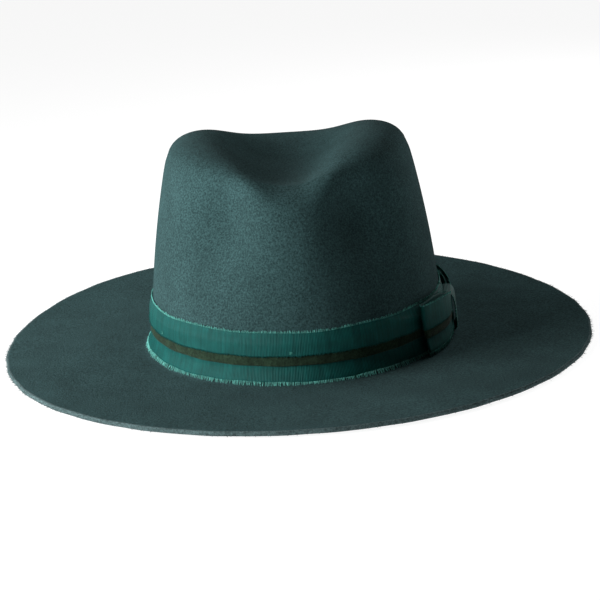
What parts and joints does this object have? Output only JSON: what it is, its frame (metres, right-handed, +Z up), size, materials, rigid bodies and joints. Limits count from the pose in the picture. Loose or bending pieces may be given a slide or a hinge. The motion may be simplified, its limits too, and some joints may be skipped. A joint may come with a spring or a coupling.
{
  "type": "wide-brimmed felt hat",
  "caption": "Wide-brimmed felt hat with a creased, front-pinched crown, a layered ribbon band with a side bow, and a leather sweatband inside.",
  "frame": {"origin": "centre of the brim's oval, on the plane that the flat of the brim rests on", "axes": "+Z up through the crown, -Y towards the front of the hat (the pinched end), +X towards the wearer's left, where the bow is"},
  "size_m": [0.3496, 0.374, 0.1268],
  "materials": {
    "felt": "dense wool felt, matt, short nap",
    "grosgrain": "ribbed grosgrain ribbon with raw frayed edges",
    "suede": "olive brown suede strip",
    "thread": "twisted sewing thread",
    "sweatband_leather": "smooth brown sweatband leather",
    "reed_plastic": "drawn plastic cord",
    "tape": "woven cotton tape",
    "label": "blank woven label",
    "satin": "satin lining",
    "piping": "satin covered cord"
  },
  "bodies": {
    "root": {"felt_body": "felt", "hatband_base_ribbon": "grosgrain", "hatband_middle_strip": "suede", "hatband_top_ribbon": "grosgrain", "bow_base_ribbon": "grosgrain", "bow_middle_strip": "suede", "bow_top_ribbon": "grosgrain", "bow_knot": "grosgrain", "hatband_tacks": "thread", "bow_tacks": "thread", "sweatband": "sweatband_leather", "sweatband_reed": "reed_plastic", "reed_tape": "tape", "sweatband_stitches": "thread", "sweatband_seam_tape": "tape", "sweatband_bow": "tape", "size_label": "label", "lining_side": "satin", "lining_piping": "piping", "lining_tip": "satin"}
  },
  "joints": []
}
